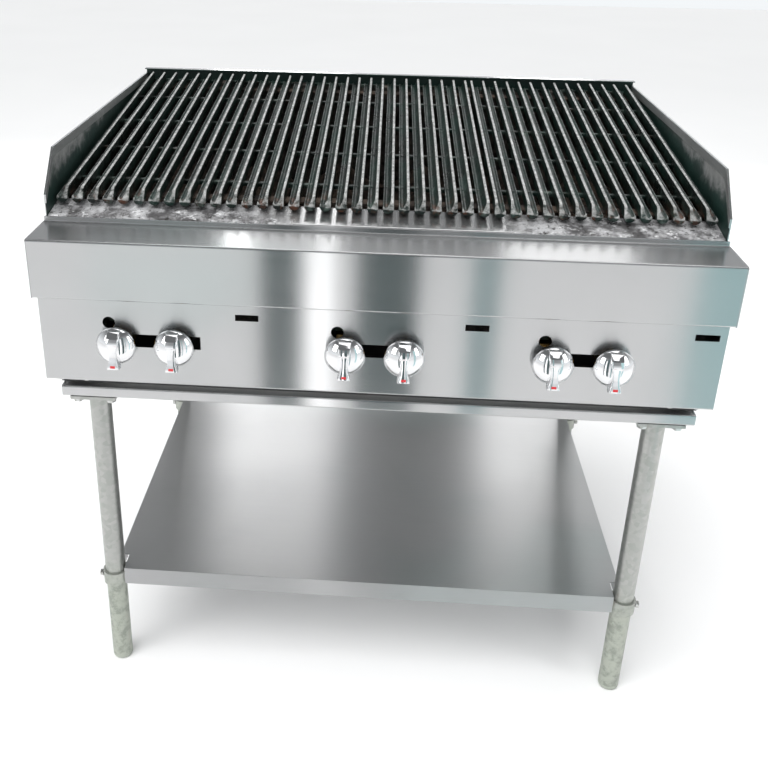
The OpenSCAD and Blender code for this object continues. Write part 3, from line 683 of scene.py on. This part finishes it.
def make_grate(number):
    """One cast grate: seven bars joined by cross ribs, as one piece that lies on the slope."""
    low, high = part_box(f"grate_{number}")
    middle = (low.x + high.x) / 2
    foot = Vector((middle, low.y + TROUGH_DEPTH * math.sin(GRATE_SLOPE), low.z))
    foot.z -= GRATE_SETTLE
    to_world = Matrix.Translation(foot) @ Matrix.Rotation(GRATE_SLOPE, 4, "X")
    flip = -1 if number >= FIRST_TURNED_GRATE else 1
    mesh = bmesh.new()
    layers = [mesh.verts.layers.float.new(key) for key in ("worn", "rust", "crust")]
    for bar in range(BARS):
        offset = (bar - (BARS - 1) / 2) * BAR_PITCH
        add_bar(mesh, layers, to_world, offset, flip, seed=number * 10 + bar)
    reach = (BARS - 1) / 2 * BAR_PITCH + TROUGH_RADIUS - 3 * MM
    for place in RIB_PLACES:
        lower = (-reach, place, RIB_BOTTOM)
        upper = (reach, place + RIB_LENGTH, RIB_TOP)
        add_block(mesh, layers, to_world, lower, upper, (0.05, 0.2, 1.0))
    bmesh.ops.recalc_face_normals(mesh, faces=mesh.faces)
    data = mesh_data(mesh, f"cast_grate_{number}")
    shade_smooth(data)
    body = f"loose_grate_{number}"
    piece = add_piece(f"cast_grate_{number}", data, "grate", body, [f"grate_{number}"])
    round_edges(piece, 0.5 * MM, sharp_from=50)


# ---- Knobs ----


def ring_of(mesh, centre, radius, depth):
    """A ring of vertices about the knob's axis, depth in front of its back."""
    ring = []
    for i in range(KNOB_SIDES):
        angle = 2 * math.pi * i / KNOB_SIDES
        spoke = Vector((radius * math.cos(angle), -depth, radius * math.sin(angle)))
        ring.append(mesh.verts.new(centre + spoke))
    return ring


def bridge(mesh, rings):
    """Joins each closed ring to the next with a band of faces."""
    for near, far in zip(rings, rings[1:]):
        for i in range(len(near)):
            j = (i + 1) % len(near)
            mesh.faces.new([near[i], near[j], far[j], far[i]])


def knob_dome(mesh, centre):
    """The dome: a thin skirt, a rolled rim and a spherical face, closed at the back."""
    outline = [(STEM_HOLE, 0.0), (25.6 * MM, 0.0), (26.6 * MM, 0.3 * MM)]
    outline += [(KNOB_RADIUS, 1.2 * MM), (KNOB_RADIUS, 2.2 * MM), (26.7 * MM, RIM_DEPTH)]
    sphere = (KNOB_RADIUS**2 + DOME_RISE**2) / (2 * DOME_RISE)
    spread = math.asin(26.2 * MM / sphere)
    for step in range(DOME_STEPS):
        angle = spread * (1 - step / DOME_STEPS)
        depth = RIM_DEPTH + DOME_RISE - sphere * (1 - math.cos(angle))
        outline.append((sphere * math.sin(angle), depth))
    rings = [ring_of(mesh, centre, radius, depth) for radius, depth in outline]
    bridge(mesh, rings)
    tip = mesh.verts.new(centre + Vector((0, -(RIM_DEPTH + DOME_RISE), 0)))
    last = rings[-1]
    for i in range(KNOB_SIDES):
        mesh.faces.new([last[i], last[(i + 1) % KNOB_SIDES], tip])
    mesh.faces.new(rings[0])


def along_marks(marks, value):
    """The value of a bent line through (place, amount) marks, in millimetres, at a place in metres."""
    value /= MM
    for (low, a), (high, b) in zip(marks, marks[1:]):
        if value <= high:
            return (a + (b - a) * max(0.0, (value - low) / (high - low))) * MM
    return marks[-1][1] * MM


def grip_width(height):
    """Half width of the grip at a height over the knob's middle: waisted, and flared at its tail."""
    marks = [(-26, 8.4), (-21, 7.2), (-15, 5.6), (-8, 4.8), (-1, 5.0), (5, 6.2), (9, 7.6), (25, 8.2)]
    return along_marks(marks, height)


def grip_crest(height):
    """How far the grip's face stands out from the knob's back at a height."""
    marks = [(-26, 21.5), (-25, 23.4), (-22, 23.6), (-16, 21.6), (-9, 19.8), (-2, 19.2), (5, 19.4)]
    marks += [(8.2, 19.8), (9.2, 21.8), (13, 20.8), (18, 17.8), (22.5, 12), (25, 7.5)]
    return along_marks(marks, height)


def grip_foot(height):
    """Where the grip's sides end: inside the dome, or behind the free tail."""
    return 2.4 * MM + max(0.0, -18 * MM - height) * 1.6


def knob_grip(mesh, centre):
    """The grip: cross-sections from its tail to its head, each with two rounded edges."""
    rows = []
    for step in range(GRIP_STEPS + 1):
        height = GRIP_TAIL + (GRIP_HEAD - GRIP_TAIL) * step / GRIP_STEPS
        half = grip_width(height)
        crest = grip_crest(height)
        foot = min(grip_foot(height), crest - 2 * MM)
        edge = min(1.1 * MM, half * 0.4)
        outline = [(-half * 1.04, foot), (-half, crest - edge)]
        outline += [(-half + edge * 0.3, crest - edge * 0.3), (-half + edge, crest)]
        outline += [(0, crest + 0.15 * MM)]
        outline += [(-x, y) for x, y in outline[-2::-1]]
        rows.append([mesh.verts.new(centre + Vector((x, -y, height))) for x, y in outline])
    bridge(mesh, rows)
    mesh.faces.new(rows[0])
    mesh.faces.new(rows[-1][::-1])


def make_knob(number):
    """A chrome knob: dome and grip, and a plain red dash on the grip's tail."""
    stem_low, stem_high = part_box(f"valve_stem_{number}")
    _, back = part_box(f"knob_{number}")
    centre = Vector(((stem_low.x + stem_high.x) / 2, back.y, (stem_low.z + stem_high.z) / 2))
    mesh = bmesh.new()
    knob_dome(mesh, centre)
    knob_grip(mesh, centre)
    bmesh.ops.recalc_face_normals(mesh, faces=mesh.faces)
    data = mesh_data(mesh, f"chrome_knob_{number}")
    shade_smooth(data)
    body = f"control_{number}"
    piece = add_piece(f"chrome_knob_{number}", data, "chrome", body, [f"knob_{number}"])
    round_edges(piece, 0.35 * MM, sharp_from=45)
    make_knob_mark(number, centre, body)


def make_knob_mark(number, centre, body):
    """A small dash of red enamel that lies just over the tail's face."""
    mesh = bmesh.new()
    rows = []
    for step in range(MARK_ROWS):
        height = (-22.6 + 0.8 * step) * MM
        row = []
        for column in range(MARK_COLUMNS + 1):
            across = (column / MARK_COLUMNS - 0.5) * MARK_WIDTH
            spot = Vector((across, -grip_crest(height) - MARK_RISE, height))
            row.append(mesh.verts.new(centre + spot))
        rows.append(row)
    for near, far in zip(rows, rows[1:]):
        for i in range(MARK_COLUMNS):
            mesh.faces.new([near[i], near[i + 1], far[i + 1], far[i]])
    data = mesh_data(mesh, f"knob_mark_{number}")
    piece = add_piece(f"knob_mark_{number}", data, "mark", body)
    thick = piece.modifiers.new("thickness", "SOLIDIFY")
    thick.thickness = MARK_THICKNESS
    thick.offset = 0


# ---- Studio ----


FLOOR_REACH = 9.0
# How far behind the grill's middle the lights for the shelf and the ledge stand, their heights, and
# the height that the ledge's lights face
BEHIND = 3.0
SHELF_LIGHT_Z = 0.75
LEDGE_LIGHT_Z = 2.90
LEDGE_LIGHT_AIM = 0.9
# How far the reflection cards stand in front of the control panel, and their lower and upper edges
CARD_AHEAD = 0.56
CARD_LOW = 0.01
CARD_HIGH = 1.1
# Strength of the sky at the horizon, and from SKY_TURN (the upward part of a unit vector) upwards
HORIZON_STRENGTH = 0.95
OVERHEAD_STRENGTH = 0.16
SKY_TURN = 0.7


def area_light(name, place, target, size, watts):
    """A rectangular light that faces a target and doesn't show to the camera."""
    data = bpy.data.lights.new(name, "AREA")
    data.shape = "RECTANGLE"
    data.size, data.size_y = size
    data.energy = watts
    light = bpy.data.objects.new(name, data)
    bpy.context.scene.collection.objects.link(light)
    light.location = place
    light.rotation_euler = (Vector(target) - Vector(place)).to_track_quat("-Z", "Y").to_euler()
    light.visible_camera = False


def shelf_light(name, across, width, watts):
    """Stands low behind the grill, so that only the undershelf sees it."""
    place = (across, BEHIND, SHELF_LIGHT_Z)
    area_light(name, place, (across, 0, SHELF_LIGHT_Z), (width, 1.0), watts)


def ledge_light(name, across, width, watts, behind=BEHIND):
    """Stands high behind the grill, where the top of the front ledge mirrors it."""
    place = (across, behind, LEDGE_LIGHT_Z)
    area_light(name, place, (across, 0, LEDGE_LIGHT_AIM), (width, 1.5), watts)


def plane(name, corners, look):
    """A flat four-cornered studio piece."""
    data = bpy.data.meshes.new(name)
    data.from_pydata(corners, [], [(0, 1, 2, 3)])
    piece = bpy.data.objects.new(name, data)
    bpy.context.scene.collection.objects.link(piece)
    data.materials.append(look.material)
    return piece


def make_floor():
    reach = FLOOR_REACH
    corners = [(-reach, -reach, 0), (reach, -reach, 0), (reach, reach, 0), (-reach, reach, 0)]
    paint = Look("pale_floor")
    cloud = paint.noise(1.2, detail=2.0)
    paint.colour(paint.mix(cloud, rgb(0.86, 0.86, 0.86), rgb(0.90, 0.90, 0.90)))
    paint.roughness(0.75)
    floor = plane("studio_floor", corners, paint)


def reflection_card(name, left, right, tone):
    """A studio card in front of the object, seen only in what the bright metal reflects."""
    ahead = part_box("control_panel")[0].y - CARD_AHEAD
    corners = [(left, ahead, CARD_LOW), (right, ahead, CARD_LOW)]
    corners += [(right, ahead, CARD_HIGH), (left, ahead, CARD_HIGH)]
    paint = Look(name)
    paint.colour(rgb(tone * 0.72, tone * 1.04, tone * 1.06))
    paint.roughness(0.9)
    card = plane(name, corners, paint)
    card.visible_camera = False
    card.visible_diffuse = False
    card.visible_shadow = False


def make_studio():
    """The floor, the soft lights, and the lights and cards that the bright sheets mirror."""
    make_floor()
    make_world()
    key_light()
    area_light("overhead", (0.1, 0.2, 2.9), (0, 0, 0.7), (2.6, 1.8), 22)
    area_light("front_left", (-2.2, -1.9, 1.9), (0, 0, 0.6), (1.1, 1.5), 12)
    area_light("front_right", (2.4, -1.4, 1.6), (0, 0, 0.6), (0.8, 1.5), 8)
    shelf_light("back_left", -0.50, 0.60, 25)
    shelf_light("back_right", 0.72, 0.40, 13)
    ledge_light("ledge_left", -0.79, 0.10, 3.2)
    ledge_light("ledge_glow", -0.52, 0.62, 2.7, behind=3.05)
    ledge_light("ledge_middle", -0.29, 0.08, 1.1)
    ledge_light("ledge_right", 1.02, 0.70, 7.8)
    # Seen in the apron and the control panel
    area_light("front_strip", (-0.113, -0.92, 0.50), (-0.113, 0, 0.50), (0.05, 1.0), 0.20)
    reflection_card("dark_left", -0.228, -0.150, 0.12)
    reflection_card("dark_middle", -0.042, 0.080, 0.13)
    reflection_card("dim_right", 0.180, 0.235, 0.45)
    reflection_card("dim_end", 0.60, 0.80, 0.70)


def make_world():
    """Pale near the horizon and darker overhead, so that bright metal has something to reflect."""
    world = bpy.data.worlds.new("studio")
    bpy.context.scene.world = world
    world.use_nodes = True
    tree = world.node_tree
    place = tree.nodes.new("ShaderNodeTexCoord")
    split = tree.nodes.new("ShaderNodeSeparateXYZ")
    step = tree.nodes.new("ShaderNodeMapRange")
    step.inputs["From Min"].default_value = 0.0
    step.inputs["From Max"].default_value = SKY_TURN
    step.inputs["To Min"].default_value = HORIZON_STRENGTH
    step.inputs["To Max"].default_value = OVERHEAD_STRENGTH
    tree.links.new(place.outputs["Generated"], split.inputs["Vector"])
    tree.links.new(split.outputs["Z"], step.inputs["Value"])
    tree.links.new(step.outputs["Result"], tree.nodes["Background"].inputs["Strength"])
    tree.nodes["Background"].inputs["Color"].default_value = rgb(0.95, 0.98, 1.0)


def key_light():
    """A broad soft light on the floor and the dull surfaces, left out of the reflections."""
    data = bpy.data.lights.new("key", "SUN")
    data.energy = 2.7
    data.angle = math.radians(50)
    light = bpy.data.objects.new("key", data)
    bpy.context.scene.collection.objects.link(light)
    light.rotation_euler = (math.radians(24), math.radians(-14), 0)
    light.visible_glossy = False


def make_camera():
    """Stands in front of the middle, turned slightly left, and looks down 23 degrees."""
    yaw, pitch, roll = math.radians(-3.7), math.radians(23.35), math.radians(0.88)
    flat = math.cos(pitch)
    ahead = Vector((math.sin(yaw) * flat, math.cos(yaw) * flat, -math.sin(pitch)))
    level = Vector((math.cos(yaw), -math.sin(yaw), 0))
    up = level.cross(ahead)
    right = level * math.cos(roll) + up * math.sin(roll)
    top = up * math.cos(roll) - level * math.sin(roll)
    data = bpy.data.cameras.new("camera")
    data.sensor_width = 36
    data.lens = 44.16
    data.shift_x = 0.08
    data.shift_y = -0.13
    camera = bpy.data.objects.new("camera", data)
    bpy.context.scene.collection.objects.link(camera)
    camera.matrix_world = Matrix((right, top, -ahead)).transposed().to_4x4()
    camera.location = (0.0015, -1.443, 1.204)
    bpy.context.scene.camera = camera


def build():
    make_camera()
    make_studio()
    dress_cad_nodes()
    for number in range(1, GRATE_COUNT + 1):
        make_grate(number)
        make_knob(number)
    bpy.context.scene.view_settings.view_transform = "Standard"


build()
